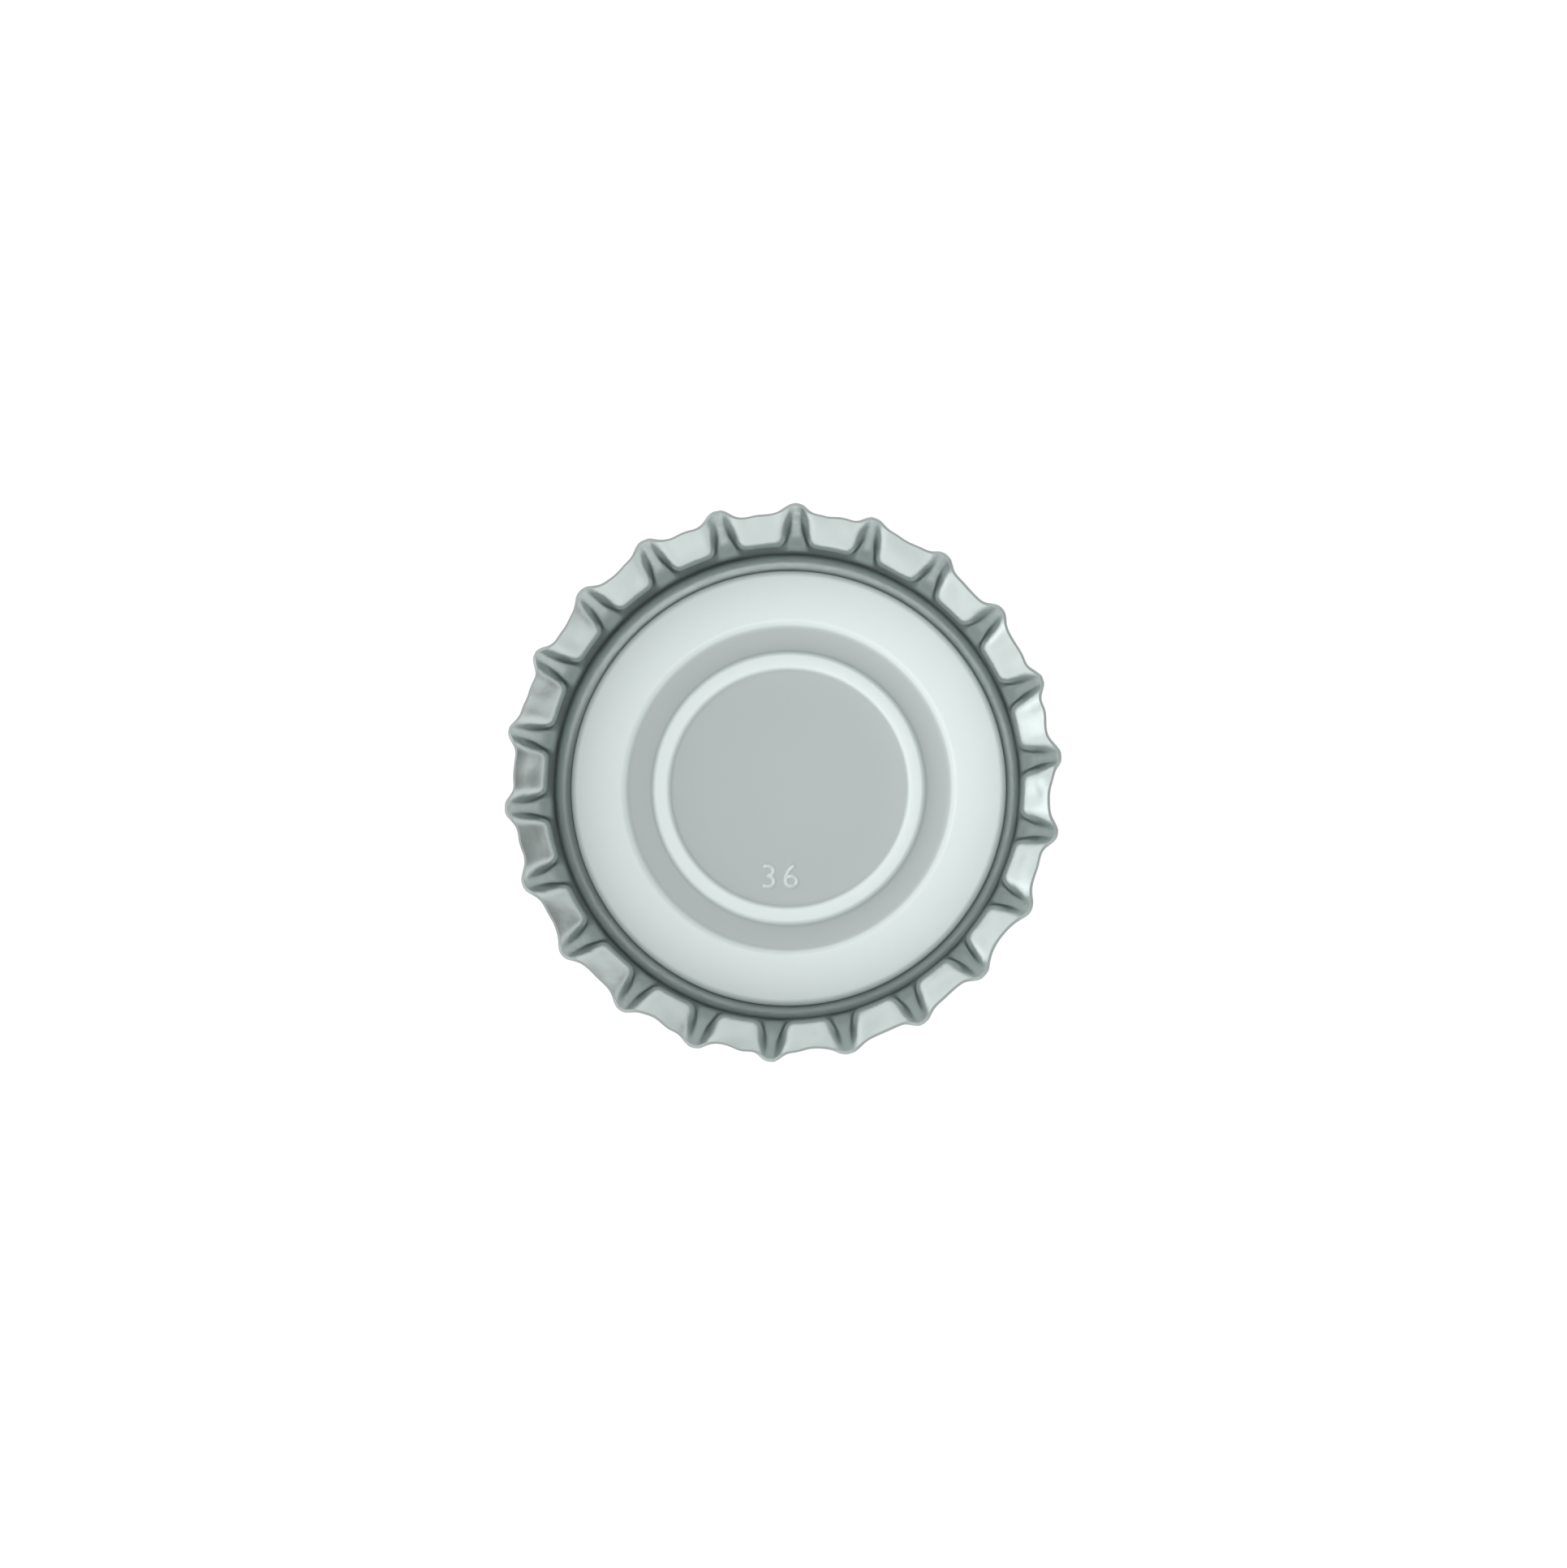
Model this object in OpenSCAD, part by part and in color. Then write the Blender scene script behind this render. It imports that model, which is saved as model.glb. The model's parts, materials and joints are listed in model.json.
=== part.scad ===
// Crown cap: a pressed steel shell with a sealing liner moulded into it.
// It lies on its panel with the open side up. Z = 0 is the outside of the
// panel, the Z axis is the axis of the cap, and +X points at a flute.

/* [Cap] */
// Diameter over the tips of the flutes
tip_d = 32.1; // [31.7:0.1:32.5]
// Outer diameter of the rim midway between two flutes
valley_d = 30.9; // [30.6:0.1:31.3]
// Inner diameter of the plain band that slips over the bottle mouth
bore_d = 26.75; // [26.6:0.05:26.9]
// Height from the panel to the rim
cap_h = 6.0; // [5.8:0.05:6.2]
// Thickness of the steel sheet
sheet_t = 0.24; // [0.2:0.01:0.28]

/* [Panel] */
// Diameter of the flat middle of the panel
land_d = 15; // [12:0.5:18]
// Outer radius of the gentle crown between that flat and the corner
crown_r = 45; // [35:1:80]
// Outer radius of the corner between the panel and the skirt
corner_r = 1.7; // [1.5:0.05:1.9]

/* [Flutes] */
// Number of flutes round the skirt
flutes = 22; // [18:1:24]
// Height at which the flutes leave the band
crest_z = 2.2; // [2:0.05:2.5]
// Outer radius of the bend at the foot of a flute
crest_bend = 1.2; // [0.8:0.1:1.6]
// Outward lean of the band between the feet of the flutes
band_lean = 6; // [4:0.5:8]
// Height at which the pads between the flutes flare out of the band
pad_z = 4.35; // [4:0.05:4.5]
// Outer radius of the bend that flares a pad
pad_bend = 0.7; // [0.4:0.1:1.2]
// Width of a flute at half its depth, near its foot
flute_w_foot = 1.25; // [1.1:0.05:1.5]
// Width of a flute at half its depth, at the rim
flute_w_rim = 1.35; // [1.2:0.05:1.6]

/* [Liner] */
// Outer diameter of the liner, in the corner of the shell
liner_d = 25; // [24.8:0.05:25.2]
// Inner diameter of the thick sealing ring, at the foot of its slope
seal_d = 18; // [17.6:0.1:18.6]
// Width of the slope up to the face of the sealing ring
seal_slope = 0.6; // [0.3:0.05:0.7]
// Thickness of the sealing ring over the panel
seal_t = 0.75; // [0.6:0.05:0.9]
// Radius of the outer shoulder of the sealing ring
seal_edge = 0.5; // [0.3:0.05:0.6]
// Diameter of the inner rib, at the middle of its crest
rib_d = 14.5; // [14:0.1:15]
// Width of the inner rib at its foot
rib_w = 1.2; // [0.9:0.05:1.4]
// Width of the flat crest of the inner rib
rib_crest_w = 0.4; // [0.2:0.05:0.6]
// Thickness of the liner at the crest of the rib
rib_t = 0.6; // [0.5:0.05:0.7]
// Thickness of the film inside the rib and of the groove outside it
film_t = 0.22; // [0.15:0.01:0.3]

/* [Hidden] */

// Points across one flute, and rings of points up the bend of a flute and of a pad
cols = 12;
crest_rows = 2;
pad_rows = 3;
// Steps of the arcs and slopes in the turned outlines
corner_steps = 12;
crown_steps = 5;
edge_steps = 6;
// Depth at which the fluted surface starts under the face of the band
seam = 0.05;
// Distance that a cutting shape runs past what it cuts
past = 1;

wall_r = bore_d / 2 + sheet_t;
// Centre of the corner's bend, which runs on from the crown and the band
corner_x = wall_r - corner_r;
corner_z = crown_r - sqrt(pow(crown_r - corner_r, 2) - pow(corner_x - land_d / 2, 2));
// Angle at which the crown meets the corner
crown_end = asin((corner_x - land_d / 2) / (crown_r - corner_r));
// The rim is cut square to the flared sheet, so its outer edge lies lower
pad_lean = lean(pad_z, band_lean, pad_bend, valley_d / 2, cap_h);
crest_lean = lean(crest_z, 0, crest_bend, tip_d / 2, cap_h);
rim_z = cap_h - sheet_t * sin(max(pad_lean, crest_lean));
// Top of the plain band, inside the sheet that leans out of its face
band_top = crest_z + 2 * seam / tan(band_lean);

function mix(a, b, f) = a + (b - a) * f;

function arc(x, z, r, from, to, steps) =
    [for (i = [0 : steps])
        let (a = mix(from, to, i / steps))
        [x + r * cos(a), z + r * sin(a)]];

// ---- Plain cup: panel, crown, corner and band ----

// Half section of the cup's face that lies `under` the outside of the sheet
function cup_outline(under, top) = concat(
    [[0, under]],
    arc(land_d / 2, crown_r, crown_r - under, -90, -90 + crown_end, crown_steps),
    arc(corner_x, corner_z, corner_r - under, -90 + crown_end, 0, corner_steps),
    [[wall_r - under, top], [0, top]]
);

module cup(under, top) {
    rotate_extrude($fn = 128) polygon(cup_outline(under, top));
}

// ---- Fluted skirt ----

// Centre [r, z] of the bend of a line that leaves the leaning band at `foot_z`
function bend_centre(foot_z, slant, bend) = [
    wall_r - seam + (foot_z - crest_z) * tan(slant) + bend * cos(slant),
    foot_z - bend * sin(slant)
];

// Lean from upright of that line where it has come straight on its way to
// `end_r` at the height `top`
function lean(foot_z, slant, bend, end_r, top) =
    let (way = [end_r, top] - bend_centre(foot_z, slant, bend))
    atan2(way[0], way[1]) + asin(bend / norm(way));

// Radius at height `z` of a line that runs up the band, leans by `slant` from
// `crest_z` on, bends out above `foot_z`, and goes straight on to `end_r` at
// the rim
function flared(z, foot_z, slant, bend, end_r) =
    let (
        centre = bend_centre(foot_z, slant, bend),
        slope = lean(foot_z, slant, bend, end_r, rim_z),
        up = z - centre[1]
    )
    z <= foot_z ? wall_r - seam + max(0, z - crest_z) * tan(slant)
    : up < bend * sin(slope) ? centre[0] - sqrt(bend * bend - up * up)
    : end_r - (rim_z - z) * tan(slope);

// Outer radius of the skirt at angle `a` from the crest of a flute. The
// section of a flute is a flat-topped bell at its foot and a round one at
// the rim.
function skirt_r(a, z) =
    let (
        pad = flared(z, pad_z, band_lean, pad_bend, valley_d / 2),
        crest = flared(z, crest_z, 0, crest_bend, tip_d / 2),
        f = max(0, min(1, (z - crest_z) / (rim_z - crest_z))),
        half_w = mix(flute_w_foot, flute_w_rim, f) / 2,
        squareness = mix(4, 1.8, f),
        y = abs(a) * PI / 180 * pad
    )
    pad + (crest - pad) * exp(-ln(2) * pow(y / half_w, squareness));

// Point of the skirt on the flute at `turn`, `under` its outside along the
// normal there
function skirt_point(turn, a, z, under) =
    let (
        da = 0.05,
        dz = 0.01,
        r = skirt_r(a, z),
        r_a = (skirt_r(a + da, z) - skirt_r(a - da, z)) / (2 * da * PI / 180) / r,
        r_z = (skirt_r(a, z + dz) - skirt_r(a, z - dz)) / (2 * dz),
        n = [1, -r_a, -r_z] / norm([1, r_a, r_z]),
        out = r - under * n[0],
        side = -under * n[1],
        t = turn + a
    )
    [out * cos(t) - side * sin(t), out * sin(t) + side * cos(t), z - under * n[2]];

pitch = 360 / flutes;
// Angles across a flute and half of each pad beside it, closer at the crest,
// moved on by the share `step` of the way to the next
function flute_angles(step) = [for (i = [0 : cols - 1])
    let (u = 2 * (i + step) / cols - 1)
    sign(u) * pitch / 2 * pow(abs(u), 1.3)];

function skirt_ring(z, under, step = 0) =
    [for (k = [0 : flutes - 1]) for (a = flute_angles(step)) skirt_point(k * pitch, a, z, under)];

// Heights of the rings: in the two bends, halfway between them, and at the rim
skirt_foot = crest_z - 0.05;
crest_rings = [for (i = [1 : crest_rows]) crest_z + crest_bend * sin(crest_lean * i / crest_rows)];
pad_rings = [for (i = [0 : pad_rows])
    bend_centre(pad_z, band_lean, pad_bend)[1] + pad_bend * sin(mix(band_lean, pad_lean, i / pad_rows))];
ring_heights = concat(
    [skirt_foot],
    crest_rings,
    [(crest_rings[crest_rows - 1] + pad_rings[0]) / 2],
    pad_rings,
    [(pad_rings[pad_rows] + rim_z) / 2, rim_z]
);

// Closed solid through a stack of rings, each end drawn to a point on the axis
module ring_stack(rings, low, high) {
    n = len(rings[0]);
    last = 1 + (len(rings) - 1) * n;
    points = concat([[0, 0, low]], [for (ring = rings) each ring], [[0, 0, high]]);
    apex = len(points) - 1;
    faces = [for (i = [0 : n - 1])
        let (j = (i + 1) % n)
        each concat(
            [[0, 1 + i, 1 + j]],
            [for (k = [1 : n : last - n]) each [[k + i, k + i + n, k + j], [k + j, k + i + n, k + j + n]]],
            [[apex, last + j, last + i]]
        )];
    polyhedron(points, faces, convexity = 6);
}

module skirt_outside() {
    rings = [for (z = ring_heights) skirt_ring(z, 0)];
    rim_face = skirt_ring(rim_z, 1.5 * sheet_t);
    ring_stack(concat(rings, [rim_face]), skirt_foot, cap_h);
}

// The columns of the inside lie between those of the outside, and its last
// ring lies past the rim, so that it cuts the rim clear of the rim's corners
module skirt_inside() {
    heights = [for (z = ring_heights) z < rim_z ? z : rim_z + sheet_t];
    rings = [for (z = heights) skirt_ring(z, sheet_t, 0.5)];
    above = [for (p = rings[len(rings) - 1]) [p[0], p[1], rim_z + past]];
    ring_stack(concat(rings, [above]), skirt_foot, rim_z + past);
}

module crown_shell() {
    color("lightsteelblue")
    difference() {
        union() {
            cup(0, band_top);
            skirt_outside();
        }
        cup(sheet_t, cap_h + past);
        skirt_inside();
    }
}

// ---- Liner ----

// Smooth slope between two points of the liner's outline
function slope(from, to) =
    [for (i = [0 : edge_steps])
        let (f = i / edge_steps)
        [mix(from[0], to[0], f), mix(from[1], to[1], (1 - cos(180 * f)) / 2)]];

function liner_outline() =
    let (
        film = sheet_t + film_t,
        rib = sheet_t + rib_t,
        face = sheet_t + seal_t,
        edge_x = liner_d / 2 - seal_edge
    )
    concat(
        [[0, 0], [0, film]],
        slope([rib_d / 2 - rib_w / 2, film], [rib_d / 2 - rib_crest_w / 2, rib]),
        slope([rib_d / 2 + rib_crest_w / 2, rib], [rib_d / 2 + rib_w / 2, film]),
        slope([seal_d / 2, film], [seal_d / 2 + seal_slope, face]),
        arc(edge_x, face - seal_edge, seal_edge, 90, 0, edge_steps),
        [[liner_d / 2, 0]]
    );

module sealing_liner() {
    color("honeydew")
    intersection() {
        rotate_extrude($fn = 128) polygon(liner_outline());
        cup(sheet_t, cap_h);
    }
}

crown_shell();
sealing_liner();
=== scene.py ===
"""Crown bottle cap, lying open side up: a fluted steel shell and the liner moulded into it."""

import json
import math
import random

import bmesh
import bpy
from bpy.props import FloatProperty, IntProperty, PointerProperty, StringProperty
from mathutils import Matrix, Vector, noise


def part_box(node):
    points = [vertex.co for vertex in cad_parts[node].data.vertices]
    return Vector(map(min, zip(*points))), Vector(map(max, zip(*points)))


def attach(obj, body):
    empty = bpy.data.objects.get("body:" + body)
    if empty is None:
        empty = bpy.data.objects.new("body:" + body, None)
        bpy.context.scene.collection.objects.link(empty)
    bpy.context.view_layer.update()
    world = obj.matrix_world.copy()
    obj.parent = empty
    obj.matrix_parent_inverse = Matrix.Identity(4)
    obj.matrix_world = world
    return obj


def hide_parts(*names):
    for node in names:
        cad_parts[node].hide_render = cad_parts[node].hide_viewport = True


bl_info = {
    "name": "Crown Cap Maker",
    "version": (1, 0, 0),
    "blender": (4, 5, 0),
    "location": "View3D > Sidebar > Crown Cap",
    "description": "Models a pressed crown cap with its sealing liner, and a plain stage for it",
    "category": "Object",
}

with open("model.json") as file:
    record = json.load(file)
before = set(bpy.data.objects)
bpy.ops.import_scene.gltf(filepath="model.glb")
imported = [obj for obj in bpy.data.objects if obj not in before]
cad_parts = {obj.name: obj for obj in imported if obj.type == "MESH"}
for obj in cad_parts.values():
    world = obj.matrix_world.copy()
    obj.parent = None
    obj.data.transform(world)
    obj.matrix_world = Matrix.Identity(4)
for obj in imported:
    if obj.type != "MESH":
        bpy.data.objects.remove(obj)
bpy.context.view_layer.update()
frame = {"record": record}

MM = 0.001
DOWN = -math.pi / 2
WELD_DISTANCE = 1e-7
SHELL_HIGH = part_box("crown_shell")[1]
LINER_LOW, LINER_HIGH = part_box("sealing_liner")
MOUNTS = {m["name"]: m for m in frame["record"]["mounts"]}
BORE_RADIUS = MOUNTS["bottle_bore"]["dims"]["r_mm"] * MM


# ---------------------------------------------------------------- settings


def length(name, description, millimetres):
    """A length setting whose default is given in millimetres"""
    return FloatProperty(
        name=name, description=description, default=millimetres * MM, unit="LENGTH", precision=5
    )


def degrees(name, description, value):
    """An angle setting whose default is given in degrees"""
    return FloatProperty(
        name=name, description=description, default=math.radians(value), subtype="ANGLE"
    )


def amount(name, description, value):
    """A setting without a unit"""
    return FloatProperty(name=name, description=description, default=value)


class ShellSettings(bpy.types.PropertyGroup):
    """Sizes of the pressed steel shell"""

    tip_radius: length("Tip radius", "Radius over the tips of the flutes", SHELL_HIGH.x / MM)
    valley_radius: length("Valley radius", "Radius of the rim between two flutes", 15.43)
    bore_radius: length("Bore radius", "Inner radius of the plain band", BORE_RADIUS / MM)
    height: length("Height", "Height from the panel to the rim", 6.0)
    sheet: length("Sheet", "Thickness of the steel sheet", LINER_LOW.z / MM)
    land_radius: length("Flat radius", "Radius of the flat middle of the panel", 7.5)
    crown_radius: length("Crown radius", "Radius of the gentle crown round the flat", 45)
    corner_radius: length("Corner radius", "Outer radius between the panel and the skirt", 1.7)
    flutes: IntProperty(name="Flutes", description="Number of flutes", default=22, min=3)
    crest_height: length("Flute foot", "Height at which the flutes leave the band", 2.05)
    crest_bend: length("Flute bend", "Bend radius at the foot of a flute", 3.0)
    lean_height: length("Lean height", "Height at which the band begins to lean outwards", 2.68)
    band_lean: degrees("Band lean", "Outward lean of the band between the feet of the flutes", 6)
    pad_height: length("Pad foot", "Height at which the pads flare out of the band", 4.35)
    pad_bend: length("Pad bend", "Bend radius that flares a pad", 0.7)
    foot_width: length("Flute width, foot", "Width of a flute at half its depth at its foot", 1.38)
    rim_width: length("Flute width, rim", "Width of a flute at half its depth at the rim", 1.3)
    foot_squareness: amount("Squareness, foot", "How flat-topped a flute is at its foot", 4.5)
    rim_squareness: amount("Squareness, rim", "How flat-topped a flute is at the rim", 2.6)
    pad_hollow: length("Pad hollow", "How far a pad's middle lies in from its sides at the rim", 0.1)
    pad_bow: length("Pad bow", "How far a pad bows inwards between its foot and the rim", 0.1)
    edge_round: length("Edge rounding", "Rounding of the cut edges of the rim", 0.03)
    short_tips: length("Short tips", "Most that a tip falls short of the full radius", 0.06)
    dent_depth: length("Dent depth", "Depth of the shallow dents in the pads", 0.2)
    dent_size: length("Dent size", "Size of the shallow dents in the pads", 1.3)
    streak_depth: length("Streak depth", "Depth of the streaks drawn along the flutes", 0.035)
    streak_size: length("Streak size", "Width of the streaks drawn along the flutes", 0.3)
    tip_turn: degrees("Tip turn", "Most that a flute is turned from its even place", 0.35)
    seed: IntProperty(name="Seed", description="Seed of the small irregularities", default=4)


class LinerSettings(bpy.types.PropertyGroup):
    """Sizes of the moulded liner"""

    radius: length("Radius", "Outer radius of the liner", LINER_HIGH.x / MM)
    face: length("Face height", "Height of the sealing face over the floor", LINER_HIGH.z / MM)
    shoulder: length("Shoulder", "Width of the rounded shoulder outside the sealing face", 0.36)
    seal_radius: length("Seal radius", "Inner radius of the sealing ring at its foot", 9.08)
    seal_slope: length("Seal slope", "Width of the slope up to the sealing face", 0.65)
    rib_radius: length("Rib radius", "Radius of the inner rib, at the middle of its crest", 7.33)
    rib_width: length("Rib width", "Width of the inner rib at its foot", 1.32)
    rib_crest: length("Rib crest", "Width of the flat crest of the inner rib", 0.56)
    rib_thickness: length("Rib thickness", "Thickness of the liner at the crest of the rib", 0.6)
    film_thickness: length("Film thickness", "Thickness of the film and of the groove", 0.22)


class NumberSettings(bpy.types.PropertyGroup):
    """The cavity number moulded on the liner's film"""

    digits: StringProperty(name="Digits", description="Cavity number of the mould", default="36")
    digit_height: length("Digit height", "Height of a digit", 1.45)
    relief: length("Relief", "How far the digits stand out of the film", 0.03)
    stroke_gain: length("Stroke gain", "How much the font's strokes are widened on each side", 0.02)
    radius: length("Radius", "Distance of the number from the cap's axis", 5.15)
    angle: degrees("Angle", "Direction of the number from the cap's axis", -100.9)


class StageSettings(bpy.types.PropertyGroup):
    """Camera, lamps and backdrop"""

    frame_width: length("Frame width", "Width of the view at the height of the rim", 89.45)
    distance: length("Camera distance", "Distance of the camera from the rim", 1200)
    tilt: degrees("Camera tilt", "Lean of the view from the cap's axis", 5.25)
    turn: degrees("Camera turn", "Turn of the view about the cap's axis", 5.39)
    aim_right: length("Aim right", "How far the view is moved to the right of the axis", 0.058)
    aim_down: length("Aim down", "How far the view is moved down from the axis", 0.107)
    horizon: amount("Horizon", "Radiance of the light tent near the floor", 1.83)
    zenith: amount("Zenith", "Radiance of the light tent overhead", 0.9)
    side: amount("Side", "Radiance that the tent gains towards its bright side", 0.28)
    side_azimuth: degrees("Side azimuth", "Direction of the tent's bright side", 190)
    gap: amount("Gap", "Radiance that the tent loses in its open gap", 0.72)
    gap_azimuth: degrees("Gap azimuth", "Direction of the gap round the cap's axis", 11.31)
    gap_elevation: degrees("Gap elevation", "Elevation of the middle of the gap", 41.27)
    gap_core: degrees("Gap core", "Angle from its middle up to which the gap is fully dim", 11.71)
    gap_edge: degrees("Gap edge", "Angle from its middle at which the gap ends", 33.82)
    key: amount("Key", "Radiance of the key lamp", 0.85)
    fill: amount("Fill", "Radiance of the fill lamp", 0.4)
    floor_glow: amount("Floor glow", "Radiance of the floor where it is seen", 0.93)
    floor_shade: amount("Floor shade", "Share of the falling light that the seen floor adds", 0.1)


# ---------------------------------------------------------------- shapes


def mix(a, b, f):
    """The value that lies the share `f` of the way from `a` to `b`"""
    return a + (b - a) * f


def direction(azimuth, elevation):
    """The unit vector that points a way given by two angles"""
    level = math.cos(elevation)
    return Vector((level * math.cos(azimuth), level * math.sin(azimuth), math.sin(elevation)))


def arc(x, z, radius, start, end, steps):
    """Points of an arc in the XZ plane, both ends included"""
    angles = [mix(start, end, i / steps) for i in range(steps + 1)]
    return [Vector((x + radius * math.cos(a), 0, z + radius * math.sin(a))) for a in angles]


def slope(x0, z0, x1, z1, steps=8):
    """Points of a smooth slope in the XZ plane, level at both ends"""
    rise = [(1 - math.cos(math.pi * i / steps)) / 2 for i in range(steps + 1)]
    return [Vector((mix(x0, x1, i / steps), 0, mix(z0, z1, f))) for i, f in enumerate(rise)]


class Flare:
    """A line up the skirt: upright to the height `low`, leaning from there to `foot`, then bent
    outwards and straight on to the radius `end` at the height `top`"""

    def __init__(self, wall, low, foot, lean, bend, end, top):
        self.wall, self.low, self.foot, self.slant = wall, low, foot, math.tan(lean)
        self.bend, self.end, self.top = bend, end, top
        # Centre of the bend, and the lean of the straight line that leaves it for the rim
        self.x = wall + (foot - low) * self.slant + bend * math.cos(lean)
        self.z = foot - bend * math.sin(lean)
        reach = Vector((end - self.x, top - self.z))
        self.lean = math.atan2(*reach) + math.asin(bend / reach.length)

    def radius(self, z):
        if z <= self.foot:
            return self.wall + max(0, z - self.low) * self.slant
        if z < self.z + self.bend * math.sin(self.lean):
            return self.x - math.sqrt(self.bend**2 - (z - self.z) ** 2)
        return self.end - (self.top - z) * math.tan(self.lean)


class ShellForm:
    """The outside of the shell: a turned panel and corner, and the fluted skirt above them"""

    crown_steps = 4
    corner_steps = 12
    # Share of a pad's hollow that is there at the pad's foot
    foot_hollow = 0.3
    # A streak is this many times longer than wide, and the streaks of two neighbouring flutes
    # are drawn this many widths apart
    streak_stretch = 6
    streak_step = 5

    def __init__(self, s):
        self.s = s
        self.wall = s.bore_radius + s.sheet
        self.pitch = 2 * math.pi / s.flutes
        # The rim is cut square to the sheet, so the sheet's lean there lowers its outer edge.
        # A bowed pad leans out more at the rim than its straight line does.
        bowed = math.tan(self.pad_line(s.height).lean) + 4 * s.pad_bow / (s.height - s.pad_height)
        leans = (math.atan(bowed), self.crest_line(s.height).lean)
        self.rim = s.height - s.sheet * math.sin(max(leans))
        self.pad = self.pad_line(self.rim)
        self.crest = self.crest_line(self.rim)
        # Centre of the corner's bend, and the angle at which the crown meets the corner
        reach = s.crown_radius - s.corner_radius
        self.corner_x = self.wall - s.corner_radius
        self.corner_z = s.crown_radius - math.sqrt(reach**2 - (self.corner_x - s.land_radius) ** 2)
        self.crown_end = DOWN + math.asin((self.corner_x - s.land_radius) / reach)
        draw = random.Random(s.seed)
        self.turns = [draw.uniform(-s.tip_turn, s.tip_turn) for _ in range(s.flutes)]
        self.shorts = [draw.uniform(0, s.short_tips) for _ in range(s.flutes)]

    def panel(self, under, reach):
        """Points of the face that lies `under` the outside, from the axis to the radius `reach`
        in the corner"""
        s = self.s
        corner = s.corner_radius - under
        end = -math.acos(min(1, (reach - self.corner_x) / corner))
        points = [Vector((x, 0, under)) for x in (0, s.land_radius / 2)]
        points += arc(
            s.land_radius, s.crown_radius, s.crown_radius - under, DOWN, self.crown_end,
            self.crown_steps,
        )
        bend = arc(self.corner_x, self.corner_z, corner, self.crown_end, end, self.corner_steps)
        return points + bend[1:]

    def crest_line(self, top):
        s = self.s
        foot = s.crest_height
        return Flare(self.wall, foot, foot, 0, s.crest_bend, s.tip_radius, top)

    def pad_line(self, top):
        s = self.s
        low, foot = s.lean_height, s.pad_height
        return Flare(self.wall, low, foot, s.band_lean, s.pad_bend, s.valley_radius, top)

    def skirt(self, angle, z):
        """Radius of the skirt at an angle and height"""
        s = self.s
        flute = round(angle / self.pitch) % s.flutes
        off = (angle + self.pitch / 2) % self.pitch - self.pitch / 2 - self.turns[flute]
        # How far the height is up the flute and up the pad, from 0 at the foot to 1 at the rim
        rise = max(0.0, (z - s.crest_height) / (self.rim - s.crest_height))
        flare = max(0.0, (z - s.pad_height) / (self.rim - s.pad_height))
        pad = self.pad.radius(z) - s.pad_bow * 4 * flare * (1 - flare)
        hollow = s.pad_hollow * mix(self.foot_hollow, 1, flare) * rise
        pad += hollow * (1 + math.cos(off * s.flutes)) / 2
        crest = self.crest.radius(z) - self.shorts[flute] * rise
        # Share of the flute's depth there, 1 at the crest and 0 on a pad
        half = mix(s.foot_width, s.rim_width, rise) / 2
        squareness = mix(s.foot_squareness, s.rim_squareness, rise**2)
        bell = math.exp(-math.log(2) * (abs(off) * pad / half) ** squareness)
        spot = Vector((pad * math.cos(angle), pad * math.sin(angle), z))
        dent = noise.noise(spot / s.dent_size)
        lane = flute * s.streak_size * self.streak_step
        spot = Vector((off * pad, z / self.streak_stretch, lane))
        streak = noise.noise(spot / s.streak_size)
        uneven = s.dent_depth * (1 - bell) * dent * flare + s.streak_depth * bell * streak * rise
        return pad + (crest - pad) * bell + uneven


def turned(points, steps):
    """A bmesh turned from an outline in the XZ plane about the Z axis"""
    bm = bmesh.new()
    verts = [bm.verts.new(p) for p in points]
    edges = [bm.edges.new(pair) for pair in zip(verts, verts[1:])]
    bmesh.ops.spin(
        bm, geom=verts + edges, axis=(0, 0, 1), cent=(0, 0, 0), angle=2 * math.pi, steps=steps,
        use_merge=True,
    )
    bmesh.ops.remove_doubles(bm, verts=bm.verts[:], dist=WELD_DISTANCE)
    return bm


def piece_from(bm, name, slot, *materials, node=None):
    """Turns a bmesh into a named piece that rides on the root and may stand for a CAD node"""
    bmesh.ops.recalc_face_normals(bm, faces=bm.faces[:])
    for face in bm.faces:
        face.smooth = True
    mesh = bpy.data.meshes.new(name)
    bm.to_mesh(mesh)
    bm.free()
    piece = bpy.data.objects.new(name, mesh)
    bpy.context.scene.collection.objects.link(piece)
    for material in materials:
        mesh.materials.append(material)
    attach(piece, "root")
    if node:
        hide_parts(node)
    return piece


# ---------------------------------------------------------------- materials


# Dark and light shade of the tin, and of the compound where it is thin and where it is thick
TIN_SHADES = ((0.38, 0.428, 0.418), (0.425, 0.473, 0.462))
COMPOUND_SHADES = ((0.44, 0.49, 0.48), (0.728, 0.801, 0.787))
CUT_COLOR = (0.31, 0.345, 0.337)
DIGIT_COLOR = (0.63, 0.70, 0.69)
PAPER_COLOR = (0.9, 0.9, 0.9)
# Share of the rib's thickness at which the compound has its light shade
MILKY_SHARE = 0.9
# Places of a Mix node's sockets when it mixes colours
MIX_FACTOR, MIX_A, MIX_B, MIX_RESULT = 0, 6, 7, 2


def add_node(tree, kind, inputs=None, **properties):
    """Adds a shader node. An input's value is a number or colour, or another node's socket."""
    made = tree.nodes.new("ShaderNode" + kind)
    for name, value in properties.items():
        setattr(made, name, value)
    for name, value in (inputs or {}).items():
        if isinstance(value, bpy.types.NodeSocket):
            tree.links.new(value, made.inputs[name])
        else:
            made.inputs[name].default_value = value
    return made


def combined(tree, operation, a, b):
    """The result of a Math node for two values"""
    return add_node(tree, "Math", {0: a, 1: b}, operation=operation).outputs["Value"]


def aligned(tree, way, axis):
    """The dot product of a node's vector and a fixed one"""
    return add_node(tree, "VectorMath", {0: way, 1: axis}, operation="DOT_PRODUCT").outputs["Value"]


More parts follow.
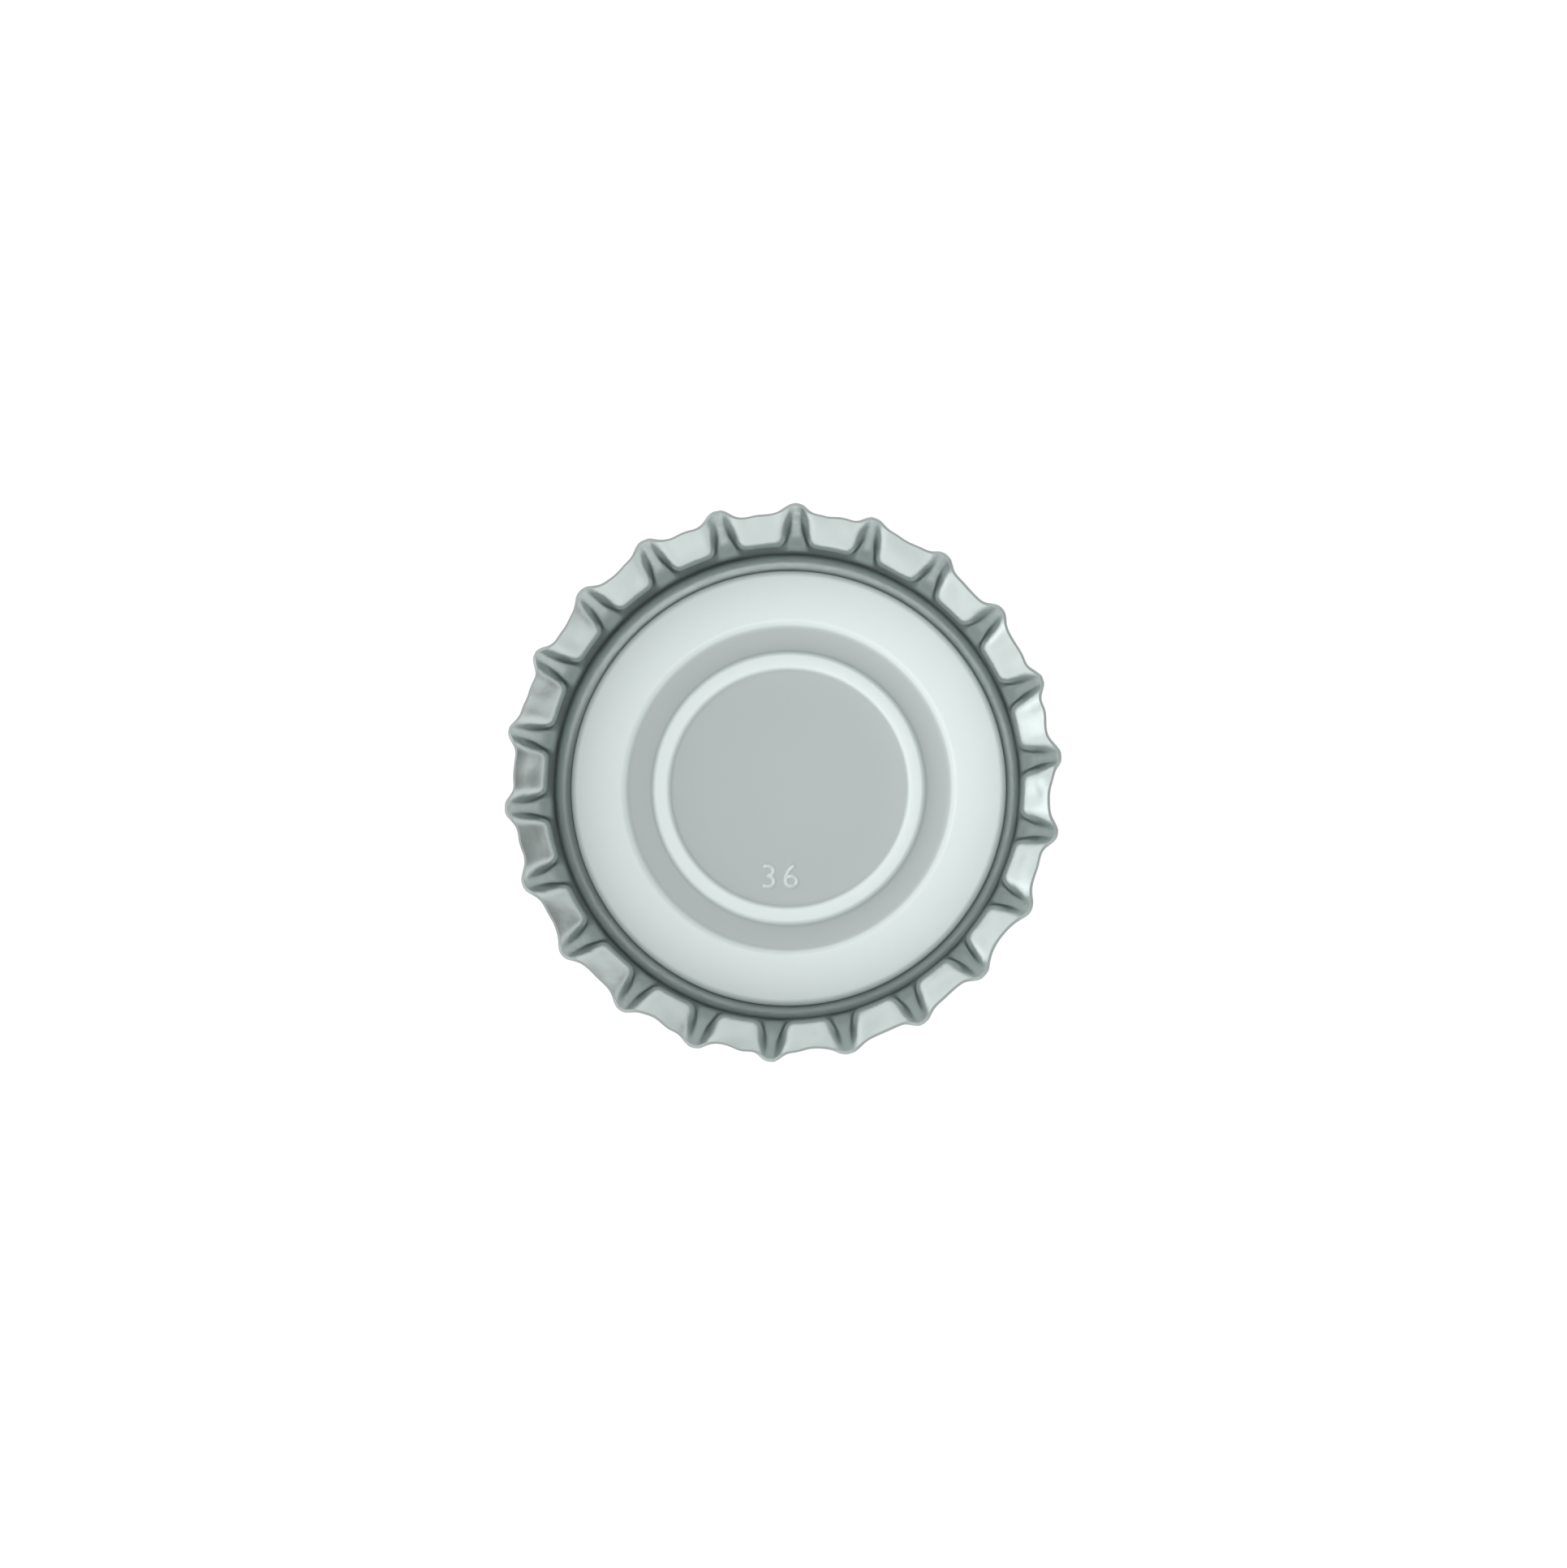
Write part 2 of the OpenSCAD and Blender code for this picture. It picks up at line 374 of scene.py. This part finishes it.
def smooth_step(tree, value, **limits):
    """A value mapped with a soft start and end. Limits are the Map Range node's inputs."""
    inputs = {name.replace("_", " "): limit for name, limit in limits.items()}
    node = add_node(
        tree, "MapRange", {"Value": value, **inputs}, interpolation_type="SMOOTHSTEP"
    )
    return node.outputs["Result"]


def shades(tree, factor, dark, light):
    """A colour that goes from dark to light with a factor"""
    inputs = {MIX_FACTOR: factor, MIX_A: (*dark, 1), MIX_B: (*light, 1)}
    return add_node(tree, "Mix", inputs, data_type="RGBA").outputs[MIX_RESULT]


def new_material(name, color=None, **sockets):
    """A material with a Principled shader whose other sockets are set by name"""
    material = bpy.data.materials.new(name)
    material.use_nodes = True
    shader = material.node_tree.nodes["Principled BSDF"]
    if color:
        shader.inputs["Base Color"].default_value = (*color, 1)
    for socket, value in sockets.items():
        shader.inputs[socket.replace("_", " ")].default_value = value
    return material, material.node_tree, shader


def tinned_steel():
    """Tin plate: slightly patchy in colour and gloss, with a very fine grain"""
    material, tree, shader = new_material(
        "tinned_steel", Metallic=1.0, Specular_Tint=(0.4, 0.4, 0.4, 1)
    )
    place = add_node(tree, "TexCoord").outputs["Object"]
    cloud = add_node(
        tree, "TexNoise", {"Vector": place, "Scale": 350.0, "Detail": 4.0, "Roughness": 0.55}
    ).outputs["Fac"]
    tree.links.new(shades(tree, cloud, *TIN_SHADES), shader.inputs["Base Color"])
    rough = add_node(tree, "MapRange", {"Value": cloud, "To Min": 0.26, "To Max": 0.34})
    tree.links.new(rough.outputs["Result"], shader.inputs["Roughness"])
    grain = add_node(
        tree, "TexNoise", {"Vector": place, "Scale": 2600.0, "Detail": 2.0, "Roughness": 0.5}
    ).outputs["Fac"]
    bump = add_node(tree, "Bump", {"Height": grain, "Strength": 1.0, "Distance": 0.01 * MM})
    tree.links.new(bump.outputs["Normal"], shader.inputs["Normal"])
    return material


def cut_steel():
    """Bare steel of the cut rim"""
    return new_material("cut_steel", CUT_COLOR, Metallic=1.0, Roughness=0.42)[0]


def liner_compound(s, k):
    """Soft milky compound, clearer where it is thin over the steel"""
    material, tree, shader = new_material(
        "liner_compound", Roughness=0.42, Subsurface_Weight=0.15, Subsurface_Radius=(1, 1, 1),
        Subsurface_Scale=0.25 * MM,
    )
    place = add_node(tree, "TexCoord").outputs["Object"]
    height = add_node(tree, "SeparateXYZ", {"Vector": place}).outputs["Z"]
    thin = s.sheet + k.film_thickness
    thick = s.sheet + k.rib_thickness * MILKY_SHARE
    milk = smooth_step(tree, height, From_Min=thin, From_Max=thick)
    tree.links.new(shades(tree, milk, *COMPOUND_SHADES), shader.inputs["Base Color"])
    return material


# ---------------------------------------------------------------- operators


class CROWNCAP_OT_shell(bpy.types.Operator):
    """Model the pressed steel shell"""

    bl_idname = "crowncap.shell"
    bl_label = "Steel Shell"

    columns_per_flute = 32
    skirt_rings = 36

    def execute(self, context):
        s = context.scene.crowncap_shell
        form = ShellForm(s)
        outline = form.panel(0, form.wall)
        for i in range(1, self.skirt_rings + 1):
            z = mix(form.corner_z, form.rim, i / self.skirt_rings)
            outline.append(Vector((form.pad.radius(z), 0, z)))
        bm = turned(outline, s.flutes * self.columns_per_flute)
        for vert in bm.verts:
            if vert.co.z > s.crest_height:
                angle = math.atan2(vert.co.y, vert.co.x)
                radius = form.skirt(angle, vert.co.z)
                vert.co.x, vert.co.y = radius * math.cos(angle), radius * math.sin(angle)
        shell = piece_from(
            bm, "crown_shell_skin", "tinned_steel", tinned_steel(), cut_steel(), node="crown_shell"
        )
        wall = shell.modifiers.new("wall", "SOLIDIFY")
        wall.thickness = s.sheet
        wall.offset = -1
        wall.use_even_offset = True
        wall.material_offset_rim = 1
        edge = shell.modifiers.new("edge", "BEVEL")
        edge.width = s.edge_round
        edge.segments = 3
        edge.limit_method = "ANGLE"
        edge.angle_limit = math.radians(50)
        edge.harden_normals = True
        return {"FINISHED"}


class CROWNCAP_OT_liner(bpy.types.Operator):
    """Model the moulded sealing liner"""

    bl_idname = "crowncap.liner"
    bl_label = "Sealing Liner"

    film_steps = 4
    shoulder_steps = 8
    turn_steps = 256

    def execute(self, context):
        s = context.scene.crowncap_shell
        k = context.scene.crowncap_liner
        film = s.sheet + k.film_thickness
        rib = s.sheet + k.rib_thickness
        rib_in = k.rib_radius - k.rib_width / 2
        rib_out = k.rib_radius + k.rib_width / 2
        outline = [Vector((rib_in * i / self.film_steps, 0, film)) for i in range(self.film_steps)]
        outline += slope(rib_in, film, k.rib_radius - k.rib_crest / 2, rib)
        outline += slope(k.rib_radius + k.rib_crest / 2, rib, rib_out, film)
        outline += slope(k.seal_radius, film, k.seal_radius + k.seal_slope, k.face)
        # The shoulder falls from the sealing face to the outer edge of the seat in the shell
        seat = ShellForm(s).panel(s.sheet, k.radius)
        face_end = k.radius - k.shoulder
        low = seat[-1].z
        for point in arc(0, 0, 1, math.pi / 2, 0, self.shoulder_steps):
            x, z = face_end + k.shoulder * point.x, low + (k.face - low) * point.z
            outline.append(Vector((x, 0, z)))
        outline += seat[-2::-1]
        bm = turned(outline, self.turn_steps)
        compound = liner_compound(s, k)
        piece_from(bm, "liner_moulding", "liner_compound", compound, node="sealing_liner")
        return {"FINISHED"}


class CROWNCAP_OT_number(bpy.types.Operator):
    """Model the cavity number on the liner's film"""

    bl_idname = "crowncap.number"
    bl_label = "Cavity Number"

    # Height of the font's digits at the size 1
    font_digit_height = 0.729
    letter_spacing = 1.25
    # How far the digits reach down into the film
    sink = 0.03 * MM

    def execute(self, context):
        s = context.scene.crowncap_shell
        k = context.scene.crowncap_liner
        n = context.scene.crowncap_number
        turn = context.scene.crowncap_stage.turn
        text = bpy.data.curves.new("cavity_number", "FONT")
        text.body = n.digits
        text.size = n.digit_height / self.font_digit_height
        text.space_character = self.letter_spacing
        text.align_x, text.align_y = "CENTER", "CENTER"
        text.extrude = (n.relief + self.sink) / 2
        text.offset = n.stroke_gain
        holder = bpy.data.objects.new("cavity_number", text)
        mesh = bpy.data.meshes.new_from_object(holder)
        bm = bmesh.new()
        bm.from_mesh(mesh)
        bmesh.ops.remove_doubles(bm, verts=bm.verts[:], dist=WELD_DISTANCE)
        place = direction(n.angle, 0) * n.radius
        place.z = s.sheet + k.film_thickness + (n.relief - self.sink) / 2
        matrix = Matrix.Translation(place) @ Matrix.Rotation(-turn, 4, "Z")
        bmesh.ops.transform(bm, verts=bm.verts[:], matrix=matrix)
        bpy.data.objects.remove(holder)
        material = new_material("liner_digits", DIGIT_COLOR, Roughness=0.45)[0]
        piece_from(bm, "cavity_number", "liner_compound", material)
        return {"FINISHED"}


class CROWNCAP_OT_stage(bpy.types.Operator):
    """Set up the floor, the lamps and the camera"""

    bl_idname = "crowncap.stage"
    bl_label = "Stage"

    floor_half = 2.0
    lamp_distance = 0.5
    # Azimuth and elevation of each lamp and the angle that it fills, in degrees
    key_place = (175, 26, 24)
    fill_place = (295, 50, 50)
    # Azimuth to which the camera leans when the view isn't turned
    lean_azimuth = -math.pi / 4

    def execute(self, context):
        st = context.scene.crowncap_stage
        context.scene.view_settings.view_transform = "Standard"
        self.light_world(context, st)
        self.lay_floor(context, st)
        self.hang_lamp(context, "key", st.key, *self.key_place)
        self.hang_lamp(context, "fill", st.fill, *self.fill_place)
        self.place_camera(context, st)
        return {"FINISHED"}

    def light_world(self, context, st):
        """A light tent: bright near the floor and dimmer overhead, a little brighter on one side,
        with a dim gap on the other"""
        world = bpy.data.worlds.new("light_tent")
        context.scene.world = world
        world.use_nodes = True
        tree = world.node_tree
        way = add_node(tree, "TexCoord").outputs["Generated"]
        up = add_node(tree, "SeparateXYZ", {"Vector": way}).outputs["Z"]
        wall = add_node(tree, "MapRange", {"Value": up, "To Min": st.horizon, "To Max": st.zenith})
        side = aligned(tree, way, direction(st.side_azimuth, 0) * st.side)
        gap = smooth_step(
            tree, aligned(tree, way, direction(st.gap_azimuth, st.gap_elevation)),
            From_Min=math.cos(st.gap_edge), From_Max=math.cos(st.gap_core), To_Max=st.gap,
        )
        light = combined(tree, "ADD", wall.outputs["Result"], side)
        light = combined(tree, "SUBTRACT", light, gap)
        light = combined(tree, "MAXIMUM", light, 0.0)
        tree.links.new(light, tree.nodes["Background"].inputs["Strength"])
        tree.nodes["Background"].inputs["Color"].default_value = (1, 1, 1, 1)

    def lay_floor(self, context, st):
        """A sheet of paper that lights the cap as paper does, and looks evenly bright itself"""
        bm = bmesh.new()
        bmesh.ops.create_grid(bm, x_segments=1, y_segments=1, size=self.floor_half)
        mesh = bpy.data.meshes.new("floor")
        bm.to_mesh(mesh)
        bm.free()
        floor = bpy.data.objects.new("floor", mesh)
        context.scene.collection.objects.link(floor)
        material, tree, shader = new_material(
            "floor_paper", PAPER_COLOR, Roughness=0.9, Specular_IOR_Level=0.0
        )
        rays = add_node(tree, "LightPath").outputs
        seen = combined(tree, "MAXIMUM", rays["Is Camera Ray"], rays["Is Glossy Ray"])
        seen = combined(tree, "MAXIMUM", seen, rays["Is Transmission Ray"])
        glow = add_node(tree, "Emission", {"Strength": st.floor_glow})
        shade = add_node(tree, "BsdfDiffuse", {"Color": (*[st.floor_shade] * 3, 1)})
        lit = add_node(tree, "AddShader", {0: glow.outputs[0], 1: shade.outputs[0]})
        paper = add_node(tree, "MixShader", {0: seen, 1: shader.outputs[0], 2: lit.outputs[0]})
        tree.links.new(paper.outputs[0], tree.nodes["Material Output"].inputs["Surface"])
        mesh.materials.append(material)

    def hang_lamp(self, context, name, radiance, azimuth, elevation, spread):
        """A round soft lamp aimed at the cap. Its angles are in degrees."""
        data = bpy.data.lights.new(name, "AREA")
        data.shape = "DISK"
        data.size = 2 * self.lamp_distance * math.tan(math.radians(spread / 2))
        # A disc's power is pi times its radiance and its area
        data.energy = radiance * math.pi**2 * data.size**2 / 4
        lamp = bpy.data.objects.new(name, data)
        context.scene.collection.objects.link(lamp)
        way = direction(math.radians(azimuth), math.radians(elevation))
        lamp.location = way * self.lamp_distance
        lamp.rotation_euler = way.to_track_quat("Z", "Y").to_euler()
        lamp.visible_camera = False

    def place_camera(self, context, st):
        """A camera over the cap, far enough off for a nearly parallel view"""
        height = context.scene.crowncap_shell.height
        data = bpy.data.cameras.new("camera")
        data.sensor_width = 36
        data.lens = data.sensor_width * st.distance / st.frame_width
        data.clip_start = 0.01
        data.clip_end = 10
        back = direction(self.lean_azimuth - st.turn, math.pi / 2 - st.tilt)
        right = direction(math.pi / 2 - st.turn, 0).cross(back).normalized()
        up = back.cross(right)
        place = Matrix((right, up, back)).transposed().to_4x4()
        place.translation = Vector((0, 0, height)) + back * st.distance
        place.translation += right * st.aim_right - up * st.aim_down
        camera = bpy.data.objects.new("camera", data)
        context.scene.collection.objects.link(camera)
        camera.matrix_world = place
        context.scene.camera = camera


OPERATORS = (CROWNCAP_OT_shell, CROWNCAP_OT_liner, CROWNCAP_OT_number, CROWNCAP_OT_stage)


class CROWNCAP_PT_panel(bpy.types.Panel):
    """Crown cap tools"""

    bl_idname = "CROWNCAP_PT_panel"
    bl_label = "Crown Cap"
    bl_space_type = "VIEW_3D"
    bl_region_type = "UI"
    bl_category = "Crown Cap"

    def draw(self, context):
        for operator in OPERATORS:
            self.layout.operator(operator.bl_idname)


SETTINGS = {
    "crowncap_shell": ShellSettings,
    "crowncap_liner": LinerSettings,
    "crowncap_number": NumberSettings,
    "crowncap_stage": StageSettings,
}


def register():
    for name, settings in SETTINGS.items():
        bpy.utils.register_class(settings)
        setattr(bpy.types.Scene, name, PointerProperty(type=settings))
    for cls in (*OPERATORS, CROWNCAP_PT_panel):
        bpy.utils.register_class(cls)


def unregister():
    for cls in (CROWNCAP_PT_panel, *reversed(OPERATORS)):
        bpy.utils.unregister_class(cls)
    for name, settings in SETTINGS.items():
        delattr(bpy.types.Scene, name)
        bpy.utils.unregister_class(settings)


def main():
    register()
    bpy.ops.crowncap.shell()
    bpy.ops.crowncap.liner()
    bpy.ops.crowncap.number()
    bpy.ops.crowncap.stage()
    bpy.context.view_layer.update()


if __name__ == "__main__":
    main()
